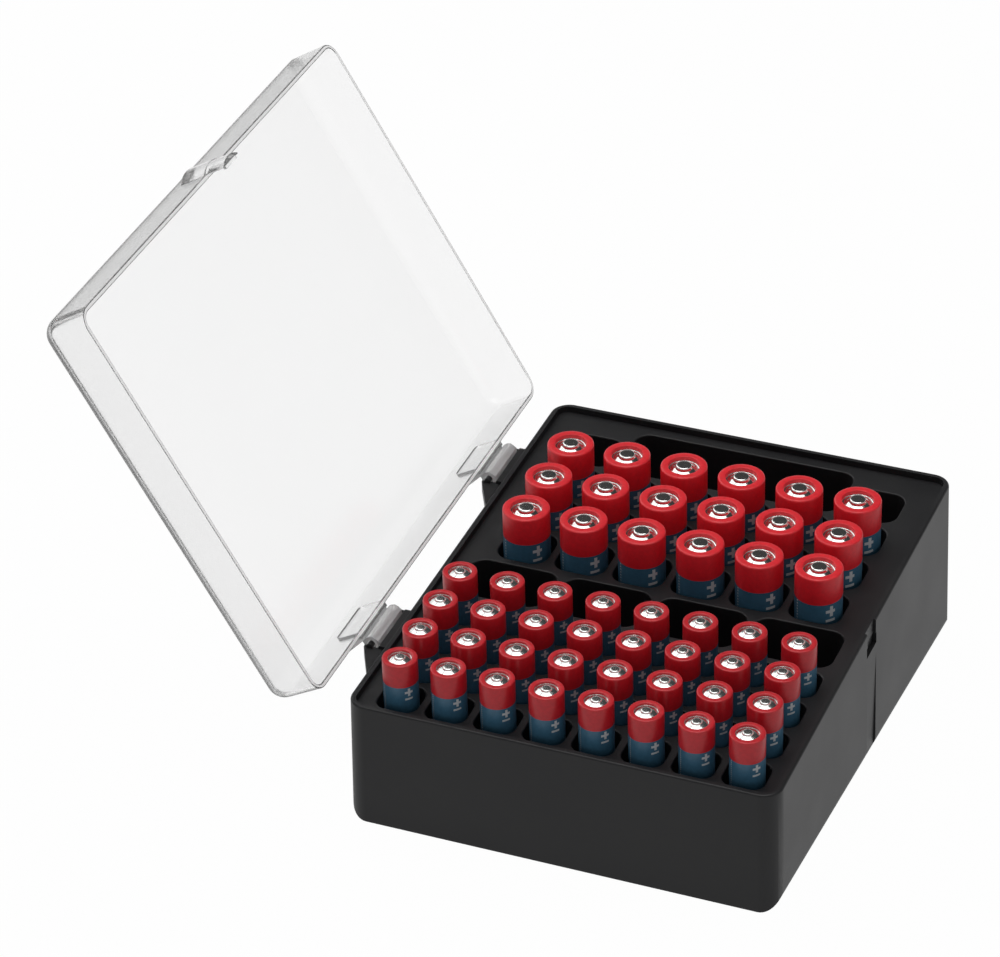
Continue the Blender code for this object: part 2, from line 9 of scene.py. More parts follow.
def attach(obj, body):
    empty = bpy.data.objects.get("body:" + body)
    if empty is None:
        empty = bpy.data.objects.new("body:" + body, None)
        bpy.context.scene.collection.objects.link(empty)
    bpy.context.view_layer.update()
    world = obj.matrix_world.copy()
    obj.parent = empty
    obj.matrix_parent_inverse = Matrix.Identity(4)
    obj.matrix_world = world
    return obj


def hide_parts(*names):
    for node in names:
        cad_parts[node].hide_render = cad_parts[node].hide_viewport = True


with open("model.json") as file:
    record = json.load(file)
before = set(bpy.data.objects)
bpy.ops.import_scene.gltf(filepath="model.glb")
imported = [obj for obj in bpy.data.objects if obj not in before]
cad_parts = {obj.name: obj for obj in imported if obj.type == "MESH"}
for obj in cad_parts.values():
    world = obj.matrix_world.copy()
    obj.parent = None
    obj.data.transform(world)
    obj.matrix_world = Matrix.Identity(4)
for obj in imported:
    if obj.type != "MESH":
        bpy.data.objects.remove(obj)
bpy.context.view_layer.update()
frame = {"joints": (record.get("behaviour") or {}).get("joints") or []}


# The box's own frame
# The tray was drawn level, in millimetres, with its deck at zero. The box stands on a sloping
# base, so this frame leans forward by a few degrees. All pieces are made in it, then placed.
hinge_joint = next(joint for joint in frame["joints"] if joint["name"] == "lid_hinge")
lift_joint = next(joint for joint in frame["joints"] if joint["type"] == "slide")
tray_turn = Matrix.Rotation(math.atan2(-lift_joint["axis"][1], lift_joint["axis"][2]), 4, "X")
hinge_spot = Vector((-0.0698, 0, 0.0013))
tray_frame = Matrix.Translation(Vector(hinge_joint["pos_m"]) - tray_turn @ hinge_spot) @ tray_turn
tray_mm = tray_frame @ Matrix.Scale(0.001, 4)
lid_open = Matrix.Rotation(math.radians(-120.1), 4, "Y")
hinge_mm = tray_mm @ Matrix.Translation(hinge_spot * 1000) @ lid_open


# Camera
# A long lens about 1.2 m away, in front of the box, to its right and above it.
camera = bpy.data.objects.new("camera", bpy.data.cameras.new("camera"))
bpy.context.scene.collection.objects.link(camera)
camera.data.lens = 147.6926
camera.data.sensor_width = 36
camera.data.clip_start = 0.05
camera.matrix_world = (tray_frame @ Matrix.Translation((0.343307, -0.934889, 0.706673))
                       @ Matrix.Rotation(math.radians(21.815603), 4, "Z")
                       @ Matrix.Rotation(math.radians(1.529078), 4, "Y")
                       @ Matrix.Rotation(math.radians(56.255741), 4, "X"))
bpy.context.scene.camera = camera
bpy.context.scene.view_settings.view_transform = "Standard"


# Studio floor
# A matt white table top, almost burnt out to white for the camera, also through the lid. Its
# reflections are a little darker.
def linear(code):
    """A colour written as sRGB hex, as the shader's linear values."""
    parts = [int(code[k:k + 2], 16) / 255 for k in (1, 3, 5)]
    return (*(p / 12.92 if p <= 0.04045 else ((p + 0.055) / 1.055) ** 2.4 for p in parts), 1)


def add_node(tree, kind, links=(), **settings):
    """Adds a node; links are (its input, other node, that node's output)."""
    node = tree.nodes.new(kind)
    for name, value in settings.items():
        if name in node.bl_rna.properties:
            setattr(node, name, value)
        else:
            node.inputs[name.replace("_", " ")].default_value = value
    for name, source, output in links:
        tree.links.new(source.outputs[output], node.inputs[name])
    return node


def new_material(name):
    """An empty material with its Principled shader; returns both and the node tree."""
    material = bpy.data.materials.new(name)
    material.use_nodes = True
    tree = material.node_tree
    return material, tree, tree.nodes["Principled BSDF"]


def add_object(name, bm, place, material=None):
    """Makes a bmesh an object at the origin, its place put into its mesh."""
    mesh = bpy.data.meshes.new(name)
    bm.to_mesh(mesh)
    bm.free()
    mesh.transform(place)
    piece = bpy.data.objects.new(name, mesh)
    bpy.context.scene.collection.objects.link(piece)
    if material:
        mesh.materials.append(material)
    return piece


BURNT_OUT_SHARE, MIRRORED_SHARE = 0.985, 0.7
FLOOR_HALF = 6
table_paint, tree, shader = new_material("white_laminate")
shader.inputs["Base Color"].default_value = linear("#B4B4B4")
shader.inputs["Roughness"].default_value = 0.6
ray = add_node(tree, "ShaderNodeLightPath")
direct = add_node(tree, "ShaderNodeMath",
                  [(0, ray, "Is Camera Ray"), (1, ray, "Is Transmission Ray")], operation="MAXIMUM")
mirrored = add_node(tree, "ShaderNodeMath", [(0, ray, "Is Glossy Ray")], operation="MULTIPLY")
mirrored.inputs[1].default_value = MIRRORED_SHARE
seen = add_node(tree, "ShaderNodeMath", [(0, direct, 0), (1, mirrored, 0)], operation="MAXIMUM")
share = add_node(tree, "ShaderNodeMath", [(0, seen, 0)], operation="MULTIPLY")
share.inputs[1].default_value = BURNT_OUT_SHARE
glow = add_node(tree, "ShaderNodeEmission", Color=(1, 1, 1, 1), Strength=1.0)
blend = add_node(tree, "ShaderNodeMixShader", [(0, share, 0), (1, shader, 0), (2, glow, 0)])
tree.links.new(blend.outputs[0], tree.nodes["Material Output"].inputs["Surface"])
bm = bmesh.new()
bmesh.ops.create_grid(bm, x_segments=1, y_segments=1, size=FLOOR_HALF)
floor = add_object("floor", bm, Matrix.Identity(4), table_paint)


# Studio light
# A white room, bright at the horizon and dark overhead, with large soft boxes above and on the
# left, and a weak one on the right.
world = bpy.data.worlds.new("studio")
bpy.context.scene.world = world
world.use_nodes = True
tree = world.node_tree
tree.nodes.clear()
where = add_node(tree, "ShaderNodeTexCoord")
split = add_node(tree, "ShaderNodeSeparateXYZ", [(0, where, "Generated")])
rise = add_node(tree, "ShaderNodeValToRGB", [(0, split, "Z")])
rise.color_ramp.elements[0].position = 0.2
rise.color_ramp.elements[0].color = (1, 1, 1, 1)
rise.color_ramp.elements[1].position = 0.5
rise.color_ramp.elements[1].color = (0.06, 0.06, 0.06, 1)
room = add_node(tree, "ShaderNodeBackground", [("Color", rise, "Color")], Strength=0.7)
add_node(tree, "ShaderNodeOutputWorld", [("Surface", room, 0)])


def soft_box(name, width, height, power, spot):
    """A rectangular area light in metres and watts, turned to the box."""
    lamp = bpy.data.lights.new(name, "AREA")
    lamp.shape = "RECTANGLE"
    lamp.size = width
    lamp.size_y = height
    lamp.energy = power
    box = bpy.data.objects.new(name, lamp)
    bpy.context.scene.collection.objects.link(box)
    box.location = spot
    box.rotation_euler = (LIGHT_AIM - Vector(spot)).to_track_quat("-Z", "Y").to_euler()


LIGHT_AIM = Vector((0, 0, 0.05))
soft_box("top_light", 1.4, 1.4, 18, (-0.05, -0.1, 1.6))
soft_box("left_light", 1.3, 1.1, 7, (-1.05, 0.4, 1.0))
soft_box("right_light", 0.9, 0.7, 0.5, (1.4, -0.2, 0.6))


# Tray
# One moulding in black polypropylene: a drafted skirt, a rim, a deck with rounded wells, a bracket
# with a pin at each hinge, and a catch for the latch. Satin from a spark-eroded mould.
TRAY_WIDTH, TRAY_DEPTH = 130.6, 170.1
RIM_TOP, RIM_WIDTH = 2.1, 1.8
FRONT_HEIGHT, REAR_HEIGHT = 41.0, 56.1
DRAFT = math.tan(math.radians(1.06))
BASE_SLOPE = (REAR_HEIGHT - FRONT_HEIGHT) / (TRAY_DEPTH + DRAFT * (REAR_HEIGHT + FRONT_HEIGHT))
BASE_MID = RIM_TOP - FRONT_HEIGHT - BASE_SLOPE * (TRAY_DEPTH / 2 + DRAFT * FRONT_HEIGHT)
WELL_SHIFT = 0.4
# A pitch is across and along; a well is its width, length, corner radius and depth
AA_PITCH, AAA_PITCH = (18.48, 18.68), (14.97, 15.12)
AA_WELL, AAA_WELL = (15.9, 16.0, 4.6, 36.0), (12.5, 12.6, 3.6, 29.3)
BLOCK_LENGTH, BLOCK_DEPTH, BLOCK_CORNER = 18.6, 34.0, 4.6
WIDE_LENGTH, ROW_GAP = 22.3, 2.5
AAA_FRONT = -TRAY_DEPTH / 2 + 4.5 + AAA_WELL[1] / 2
BLOCK_Y = AAA_FRONT + 3 * AAA_PITCH[1] + AAA_WELL[1] / 2 + ROW_GAP + BLOCK_LENGTH / 2
AA_FRONT = BLOCK_Y + BLOCK_LENGTH / 2 + ROW_GAP + AA_WELL[1] / 2
HINGE_Y = 46.0
SHELL, CUP_WALL = 2.2, 1.6
# How far a cutting shape reaches past the surface that it opens
CLEAR = 3


def moulded_block(width, depth, top, bottom, corner, steps, edge=0.0, edge_steps=3, slope=0.0,
                  flare=DRAFT):
    """A block that flares downwards from its top, its upright corners and top edges rounded."""
    bm = bmesh.new()
    bmesh.ops.create_cube(bm, size=2)
    for vert in bm.verts:
        side_x, side_y = math.copysign(1, vert.co.x), math.copysign(1, vert.co.y)
        fall = 0
        if vert.co.z < 0:
            fall = (top - bottom + slope * side_y * depth / 2) / (1 - side_y * slope * flare)
        vert.co = (side_x * (width / 2 + flare * fall), side_y * (depth / 2 + flare * fall), top - fall)
    upright = [e for e in bm.edges if abs(e.verts[0].co.z - e.verts[1].co.z) > 1]
    bmesh.ops.bevel(bm, geom=upright, offset=corner, segments=steps, profile=0.5, affect="EDGES",
                    clamp_overlap=True, material=-1)
    if edge:
        rim = [e for e in bm.edges if min(v.co.z for v in e.verts) > top - 0.001]
        bmesh.ops.bevel(bm, geom=rim, offset=edge, segments=edge_steps, profile=0.5, affect="EDGES",
                        clamp_overlap=True, material=-1)
    return bm


def plate(outline, thickness):
    """A flat outline raised to a plate, half its thickness on each side of its plane."""
    bm = bmesh.new()
    face = bm.faces.new([bm.verts.new((x, y, -thickness / 2)) for x, y in outline])
    raised = bmesh.ops.extrude_face_region(bm, geom=[face])["geom"]
    upper = [g for g in raised if isinstance(g, bmesh.types.BMVert)]
    bmesh.ops.translate(bm, verts=upper, vec=(0, 0, thickness))
    bmesh.ops.recalc_face_normals(bm, faces=bm.faces)
    return bm


def shaped(piece, bm, place, operation):
    """Joins a shape to a piece or cuts it away, and keeps the result as the piece's mesh."""
    tool = add_object("tool", bm, place)
    step = piece.modifiers.new("shape", "BOOLEAN")
    step.object, step.operation, step.solver = tool, operation, "EXACT"
    bpy.context.view_layer.update()
    done = bpy.data.meshes.new_from_object(piece.evaluated_get(bpy.context.evaluated_depsgraph_get()))
    piece.modifiers.clear()
    piece.data = done
    bpy.data.objects.remove(tool, do_unlink=True)


def arc_points(radius, start, end, steps, center=(0.0, 0.0)):
    """Points on an arc, both ends included; the angles are in degrees."""
    angles = [math.radians(start + (end - start) * k / steps) for k in range(steps + 1)]
    return [(center[0] + radius * math.cos(a), center[1] + radius * math.sin(a)) for a in angles]


def smoothed(piece):
    """Smooth shading that keeps the flats flat and the edges over 32 degrees sharp."""
    piece.data.shade_smooth()
    piece.data.set_sharp_from_angle(angle=math.radians(32))
    even = piece.modifiers.new("even_flats", "WEIGHTED_NORMAL")
    even.keep_sharp = True


# Black polypropylene: almost no diffuse colour, a soft sheen, and a fine spark-eroded grain. The
# real grain is near 0.1 mm and is drawn at 0.4 mm so that it shows.
black_plastic, tree, shader = new_material("moulded_black_polypropylene")
coords = add_node(tree, "ShaderNodeTexCoord")
grain = add_node(tree, "ShaderNodeTexNoise", [("Vector", coords, "Object")], Scale=2500.0, Detail=2.0)
cloud = add_node(tree, "ShaderNodeTexNoise", [("Vector", coords, "Object")], Scale=40.0, Detail=3.0)
tone = add_node(tree, "ShaderNodeValToRGB", [(0, cloud, "Fac")])
tone.color_ramp.elements[0].position = 0.3
tone.color_ramp.elements[0].color = linear("#1B1B1D")
tone.color_ramp.elements[1].position = 0.7
tone.color_ramp.elements[1].color = linear("#222223")
sheen = add_node(tree, "ShaderNodeMapRange", [("Value", cloud, "Fac")])
sheen.inputs["To Min"].default_value = 0.38
sheen.inputs["To Max"].default_value = 0.5
bump = add_node(tree, "ShaderNodeBump", [("Height", grain, "Fac")], Strength=0.12, Distance=0.0001)
tree.links.new(tone.outputs[0], shader.inputs["Base Color"])
tree.links.new(sheen.outputs[0], shader.inputs["Roughness"])
tree.links.new(bump.outputs[0], shader.inputs["Normal"])
shader.inputs["IOR"].default_value = 1.37

skirt = moulded_block(TRAY_WIDTH, TRAY_DEPTH, RIM_TOP, BASE_MID, 6.0, 12, 0.7, 4, BASE_SLOPE)
tray = add_object("tray_moulding", skirt, Matrix.Identity(4), black_plastic)
pan = moulded_block(TRAY_WIDTH - 2 * RIM_WIDTH, TRAY_DEPTH - 2 * RIM_WIDTH, RIM_TOP + CLEAR, 0, 3.5, 8,
                    flare=0)
shaped(tray, pan, Matrix.Identity(4), "DIFFERENCE")

wells = []
for row in range(4):
    for column in range(8):
        wells.append((WELL_SHIFT + (column - 3.5) * AAA_PITCH[0], AAA_FRONT + row * AAA_PITCH[1],
                      *AAA_WELL))
for index in range(4):
    wells.append((WELL_SHIFT + (index - 1.5) * 2 * AAA_PITCH[0], BLOCK_Y,
                  AAA_PITCH[0] + AAA_WELL[0], BLOCK_LENGTH, BLOCK_CORNER, BLOCK_DEPTH))
for column in range(6):
    for row in range(4 if column in (0, 5) else 3):
        wells.append((WELL_SHIFT + (column - 2.5) * AA_PITCH[0], AA_FRONT + row * AA_PITCH[1],
                      *AA_WELL))
WIDE_Y = AA_FRONT + 3 * AA_PITCH[1] - AA_WELL[1] / 2 + WIDE_LENGTH / 2
wells.append((WELL_SHIFT, WIDE_Y, 3 * AA_PITCH[0] + AA_WELL[0], WIDE_LENGTH, *AA_WELL[2:]))

# The hollow underside, round three solid banks that hold the wells
under_shell = moulded_block(TRAY_WIDTH - 2 * SHELL, TRAY_DEPTH - 2 * SHELL, -2.0, BASE_MID - CLEAR, 3.0,
                            6, slope=BASE_SLOPE)
underside = add_object("underside", under_shell, Matrix.Identity(4))
small_half = 3.5 * AAA_PITCH[0] + AAA_WELL[0] / 2
large_half = 2.5 * AA_PITCH[0] + AA_WELL[0] / 2
block_front, aa_front = BLOCK_Y - BLOCK_LENGTH / 2, AA_FRONT - AA_WELL[1] / 2
for half_x, front, rear, depth in (
        (small_half + CUP_WALL, -TRAY_DEPTH / 2 - 2, block_front, AAA_WELL[3]),
        (small_half + ROW_GAP, block_front - ROW_GAP, aa_front, BLOCK_DEPTH),
        (large_half + CUP_WALL, aa_front - ROW_GAP, WIDE_Y + WIDE_LENGTH / 2 + CUP_WALL, AA_WELL[3])):
    bank = bmesh.new()
    bmesh.ops.create_cube(bank, size=1)
    bmesh.ops.scale(bank, verts=bank.verts, vec=(2 * half_x, rear - front, depth + CUP_WALL + CLEAR))
    middle = (WELL_SHIFT, (front + rear) / 2, (CLEAR - depth - CUP_WALL) / 2)
    bmesh.ops.translate(bank, verts=bank.verts, vec=middle)
    shaped(underside, bank, Matrix.Identity(4), "DIFFERENCE")
hollow = bmesh.new()
hollow.from_mesh(underside.data)
bpy.data.objects.remove(underside, do_unlink=True)
shaped(tray, hollow, Matrix.Identity(4), "DIFFERENCE")

# All wells in one cutter, each with a quarter round at its mouth
MOUTH_ROUND = 0.45
ROUND_STEPS = 4
cutter = bmesh.new()
for x, y, width, length, corner, depth in wells:
    made = bmesh.ops.create_grid(cutter, x_segments=1, y_segments=1, size=0.5)["verts"]
    bmesh.ops.scale(cutter, verts=made, vec=(width + 2 * MOUTH_ROUND, length + 2 * MOUTH_ROUND, 1))
    bmesh.ops.translate(cutter, verts=made, vec=(x, y, CLEAR))
    rounded = bmesh.ops.bevel(cutter, geom=made, offset=corner + MOUTH_ROUND, segments=8,
                              profile=0.5, affect="VERTICES", clamp_overlap=True, material=-1)
    face = rounded["verts"][0].link_faces[0]
    if face.normal.z > 0:
        face.normal_flip()
    raised = bmesh.ops.extrude_face_region(cutter, geom=[face])["geom"]
    bottom = [g for g in raised if isinstance(g, bmesh.types.BMFace)][0]
    bmesh.ops.translate(cutter, verts=bottom.verts, vec=(0, 0, -CLEAR))
    for step in range(ROUND_STEPS):
        a, b = (math.radians(90 / ROUND_STEPS * k) for k in (step, step + 1))
        inward = MOUTH_ROUND * (math.sin(b) - math.sin(a))
        down = MOUTH_ROUND * (math.cos(a) - math.cos(b))
        bmesh.ops.inset_region(cutter, faces=[bottom], thickness=inward, depth=down,
                               use_even_offset=True)
    raised = bmesh.ops.extrude_face_region(cutter, geom=[bottom])["geom"]
    floor_face = [g for g in raised if isinstance(g, bmesh.types.BMFace)][0]
    bmesh.ops.translate(cutter, verts=floor_face.verts, vec=(0, 0, -depth + MOUTH_ROUND))
    bmesh.ops.delete(cutter, geom=[bottom], context="FACES_ONLY")
bmesh.ops.recalc_face_normals(cutter, faces=cutter.faces)
shaped(tray, cutter, Matrix.Identity(4), "DIFFERENCE")


def block(low, high):
    """A box between two corners."""
    bm = bmesh.new()
    bmesh.ops.create_cube(bm, size=1)
    size = [b - a for a, b in zip(low, high)]
    bmesh.ops.scale(bm, verts=bm.verts, vec=size)
    bmesh.ops.translate(bm, verts=bm.verts, vec=[(a + b) / 2 for a, b in zip(low, high)])
    return bm


# The latch's seat: a slide, a deeper catch under it, and the upright channel below
LATCH_Y = 1.5
CHANNEL_TOP = 11.8
half_tray = TRAY_WIDTH / 2
for inner, width, low, high in (
        (half_tray - 0.8, 8.0, RIM_TOP - 6.7, RIM_TOP + CLEAR),
        (half_tray - 1.2, 9.2, RIM_TOP - 8.5, RIM_TOP - 4.9),
        (half_tray + DRAFT * CHANNEL_TOP, 8.6, BASE_MID - 9, RIM_TOP - CHANNEL_TOP)):
    seat = block((inner, LATCH_Y - width / 2, low), (half_tray + CLEAR, LATCH_Y + width / 2, high))
    shaped(tray, seat, Matrix.Identity(4), "DIFFERENCE")

# Each hinge: a bracket with two ears and a gusset, a ledge between the ears, and the pin
bracket = [(5.2, -22.6), (5.2, 10.7), (-2, 10.7), (-2, 9.1), (3, 9.1), (3, -9.1), (-2, -9.1),
           (-2, -9.9), (4.5, -22.6)]
for station in (-HINGE_Y, HINGE_Y):
    spot = hinge_spot * 1000 + Vector((0, station, 0))
    arms = plate(bracket, 4.0)
    sharp = [e for e in arms.edges if e.calc_length() > 3 and max(v.co.x for v in e.verts) < 5]
    bmesh.ops.bevel(arms, geom=sharp, offset=0.2, segments=2, profile=0.5, affect="EDGES", material=-1)
    shaped(tray, arms, Matrix.Translation(spot + Vector((0, 0, -2.4))), "UNION")
    ledge = block((2.7, -9.8, -3.1), (4.85, 9.8, 0.7))
    round_edge = [e for e in ledge.edges
                  if max(v.co.x for v in e.verts) < 3 and min(v.co.z for v in e.verts) > 0]
    bmesh.ops.bevel(ledge, geom=round_edge, offset=0.5, segments=4, profile=0.5, affect="EDGES",
                    material=-1)
    shaped(tray, ledge, Matrix.Translation(spot), "UNION")
    pin = bmesh.new()
    bmesh.ops.create_cone(pin, cap_ends=True, segments=24, radius1=1, radius2=1, depth=20.6)
    shaped(tray, pin, Matrix.Translation(spot) @ Matrix.Rotation(math.pi / 2, 4, "X"), "UNION")
tray.data.transform(tray_mm)
smoothed(tray)
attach(tray, "tray")
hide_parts("base_tray")


# Lid
# One moulding in clear polypropylene, left slightly hazy by the mould. The walls are 1.5 mm thick
# and meet the top in a large round. It is drawn shut, from its hinge axis, then swung open.
LID_WIDTH, LID_DEPTH, LID_HEIGHT = 132.2, 172.6, 17.2
LID_WALL, LID_ROOF, LID_ROUND, RIM_EASE = 1.5, 1.7, 5.0, 0.36
LID_MID = 69.8
LID_RIM = 1.1
LID_TOP = LID_RIM + LID_HEIGHT
narrowing = DRAFT * LID_HEIGHT


def translucent(name, clearness, smooth, dull):
    """Moulded polypropylene: clear, with a share of milky scatter and a cloudy gloss."""
    material, tree, shader = new_material(name)
    coords = add_node(tree, "ShaderNodeTexCoord")
    haze = add_node(tree, "ShaderNodeTexNoise", [("Vector", coords, "Object")], Scale=60.0, Detail=2.0)
    rough = add_node(tree, "ShaderNodeMapRange", [("Value", haze, "Fac")])
    rough.inputs["To Min"].default_value = smooth
    rough.inputs["To Max"].default_value = dull
    tree.links.new(rough.outputs[0], shader.inputs["Roughness"])
    shader.inputs["Base Color"].default_value = linear("#FDFDFD")
    shader.inputs["Transmission Weight"].default_value = clearness
    shader.inputs["IOR"].default_value = 1.33
    inside = add_node(tree, "ShaderNodeVolumeAbsorption", Color=(0.5, 0.5, 0.5, 1), Density=25.0)
    tree.links.new(inside.outputs[0], tree.nodes["Material Output"].inputs["Volume"])
    return material


# The walls and the top are clear, and the knuckles look milky. The front and latch rounds take a
# whiter,
# more diffuse copy of the plastic: a painted highlight for the bright band that light makes on them.
# The rim's narrow edge is ground, and its emission is a painted glow standing in for the light that the
# clear sheet leads to it.
PAINTED_EDGE_GLOW = 0.28
clear_plastic = translucent("clear_polypropylene", 0.985, 0.15, 0.2)
milky_plastic = translucent("milky_polypropylene", 0.68, 0.2, 0.3)
highlight_round_plastic = translucent("painted_highlight_round_polypropylene", 0.62, 0.2, 0.28)
ground_and_glow_plastic = translucent("ground_edge_painted_glow_polypropylene", 0.3, 0.3, 0.4)
edge_shader = ground_and_glow_plastic.node_tree.nodes["Principled BSDF"]
# The ground edge's emission is a painted glow, not a lamp.
edge_shader.inputs["Emission Color"].default_value = (1, 1, 1, 1)
edge_shader.inputs["Emission Strength"].default_value = PAINTED_EDGE_GLOW
top_width, top_depth = LID_WIDTH - 2 * narrowing, LID_DEPTH - 2 * narrowing
outer = moulded_block(top_width, top_depth, LID_TOP, LID_RIM, 5.4, 10, LID_ROUND, 14)
lid = add_object("lid_moulding", outer, Matrix.Identity(4), clear_plastic)
inner = moulded_block(top_width - 2 * LID_WALL, top_depth - 2 * LID_WALL, LID_TOP - LID_ROOF,
                      LID_RIM - CLEAR, 3.2, 8, 3.4, 12)
shaped(lid, inner, Matrix.Identity(4), "DIFFERENCE")
walls = bmesh.new()
walls.from_mesh(lid.data)
rim = [e for e in walls.edges
       if max(abs(v.co.z - LID_RIM) for v in e.verts) < 0.01 and e.calc_face_angle(0) > 1]
bmesh.ops.bevel(walls, geom=rim, offset=RIM_EASE, segments=2, profile=0.5, affect="EDGES",
                clamp_overlap=True, material=-1)
walls.to_mesh(lid.data)
walls.free()
lid.data.transform(Matrix.Translation((LID_MID, 0, 0)))

# Each hinge: a pad on the wall, a thin leaf with a gusset, and an open knuckle with two ridges
near_wall = LID_MID - LID_WIDTH / 2
PAD_PROUD, LEAF_THICKNESS = 0.7, 0.8
KNUCKLE_RADIUS, BORE_RADIUS = 2.4, 1.3
RING_START, RING_END = 216, 524
RIDGE_ANGLES, RIDGE_SPREAD, RIDGE_LIFT = (270, 325), 14, 0.1
ridged = []
for x, z in arc_points(KNUCKLE_RADIUS, RING_START, RING_END, 44):
    angle = math.degrees(math.atan2(z, x)) % 360
    lift = sum(max(0.0, 1 - abs(angle - ridge) / RIDGE_SPREAD) for ridge in RIDGE_ANGLES)
    ridged.append((x * (1 + RIDGE_LIFT * lift), z * (1 + RIDGE_LIFT * lift)))
knuckle = ridged + arc_points(BORE_RADIUS, RING_END, RING_START, 28)
leaf = [(0, -8.3), (near_wall / 2, -8.7), (near_wall, -17.8), (near_wall + PAD_PROUD, -17.8),
        (near_wall + PAD_PROUD, 8.3), (0, 8.3)]
upright = Matrix.Rotation(math.pi / 2, 4, "X")
for station in (-HINGE_Y, HINGE_Y):
    pad = block((near_wall - 1.2, station - 8.8, LID_RIM + 0.25),
                (near_wall + PAD_PROUD, station + 8.8, LID_RIM + 9.4))
    corners = [e for e in pad.edges
               if abs(e.verts[0].co.x - e.verts[1].co.x) > 1 and e.verts[0].co.z > 5]
    bmesh.ops.bevel(pad, geom=corners, offset=1.6, segments=5, profile=0.5, affect="EDGES",
                    material=-1)
    shaped(lid, pad, Matrix.Identity(4), "UNION")
    shaped(lid, plate(leaf, LEAF_THICKNESS), Matrix.Translation((0, station, 2.0)), "UNION")
    shaped(lid, plate(knuckle, 17.4), Matrix.Translation((0, station, 0)) @ upright, "UNION")

# The latch: a bowed finger pad on the far wall and a tongue with a hook that runs down from it
far_wall = LID_MID + LID_WIDTH / 2


def bow(inner_x, proud, width):
    """An outline, flat on the inside and bowed outwards."""
    radius = (width ** 2 / 4 + proud ** 2) / (2 * proud)
    spread = math.degrees(math.acos((radius - proud) / radius))
    curve = arc_points(radius, -spread, spread, 16, (proud - radius, 0))
    return [(inner_x, curve[0][1])] + curve + [(inner_x, curve[-1][1])]


TONGUE_DROP = 6.8
tongue_back = TRAY_WIDTH / 2 - LID_WIDTH / 2 + 0.35 + DRAFT * TONGUE_DROP
spot = Matrix.Translation((far_wall, LATCH_Y, LID_RIM))
for outline, low, height in (
        (bow(-0.7, 1.8, 11.4), 0.25, 9.15),
        (bow(tongue_back, 1.65, 9.4), -TONGUE_DROP, 11.5)):
    shape = plate(outline, height)
    ends = [e for e in shape.edges
            if abs(e.verts[0].co.z - e.verts[1].co.z) < 0.1 and min(v.co.x for v in e.verts) > 0.1]
    bmesh.ops.bevel(shape, geom=ends, offset=0.25, segments=2, profile=0.5, affect="EDGES",
                    material=-1)
    shaped(lid, shape, spot @ Matrix.Translation((0, 0, low + height / 2)), "UNION")
hook = block((tongue_back - 0.8, -3.5, -6.65), (tongue_back + 0.3, 3.5, -5.65))
shaped(lid, hook, spot, "UNION")

# The knuckles and leaves are milky, the rim's edge is ground with a painted glow, and two of the top's
# rounds take the whiter copy that paints a highlight
MILKY, GROUND_AND_GLOW, ROUND = 1, 2, 3
SIDE_BAND = 9
for material in (milky_plastic, ground_and_glow_plastic, highlight_round_plastic):
    lid.data.materials.append(material)
for face in lid.data.polygons:
    x, y, z = face.center
    rounded = z > LID_TOP - LID_ROUND + 0.05 and 0.1 < face.normal.z < 0.9
    if x < near_wall - 1.25:
        face.material_index = MILKY
    elif abs(z - LID_RIM) < 0.01 and x < far_wall:
        face.material_index = GROUND_AND_GLOW
    # The front and latch rounds take the whiter copy of the plastic: a painted highlight.
    elif rounded and (y < SIDE_BAND - LID_DEPTH / 2 or x > far_wall - SIDE_BAND):
        face.material_index = ROUND
lid.data.transform(hinge_mm)
smoothed(lid)
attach(lid, "lid")
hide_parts("lid")


